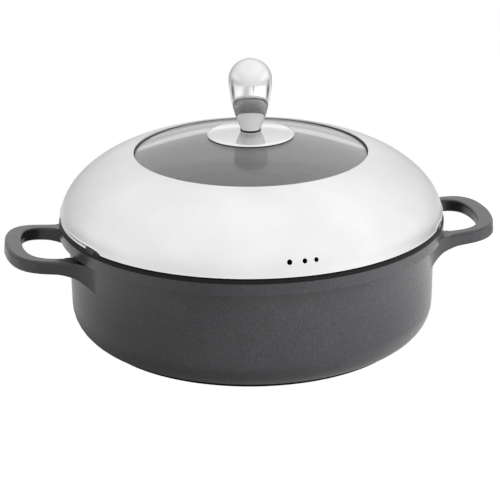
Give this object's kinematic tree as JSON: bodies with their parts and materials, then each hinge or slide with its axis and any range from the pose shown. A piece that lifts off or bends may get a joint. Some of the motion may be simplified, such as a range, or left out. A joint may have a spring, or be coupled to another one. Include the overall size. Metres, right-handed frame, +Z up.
{
  "type": "casserole pot",
  "caption": "Low round cast aluminium casserole with loop handles, under a domed steel lid with a tinted glass window, steam vents and a polished knob.",
  "frame": {"origin": "centre of the flat underside of the pot", "axes": "+Z up, +X along the two handles, the side with the steam vents faces -Y"},
  "size_m": [0.3718, 0.288, 0.2093],
  "materials": {
    "cast_body": "dark coated casting with a fine metallic fleck, satin",
    "lid_steel": "fine satin",
    "polished_steel": "polished",
    "tinted_glass": "smooth, grey tint",
    "silicone": "matt",
    "hardware": "plain bright"
  },
  "bodies": {
    "pot": {"pot_body": "cast_body"},
    "lid": {"lid_dome": "lid_steel", "lid_seat_ring": "lid_steel", "glass_window": "tinted_glass", "glass_gasket": "silicone", "glass_retaining_ring": "lid_steel", "plate_seal": "silicone", "knob_plate": "polished_steel", "neck_washer": "silicone", "knob": "polished_steel", "screw_grommet": "silicone", "backing_washer": "hardware", "lock_washer": "hardware", "knob_screw": "hardware"}
  },
  "joints": [
    {"name": "lid_lift", "type": "slide", "parent": "pot", "child": "lid", "axis": [0, 0, 1], "range_m": [0, 0.15]}
  ]
}
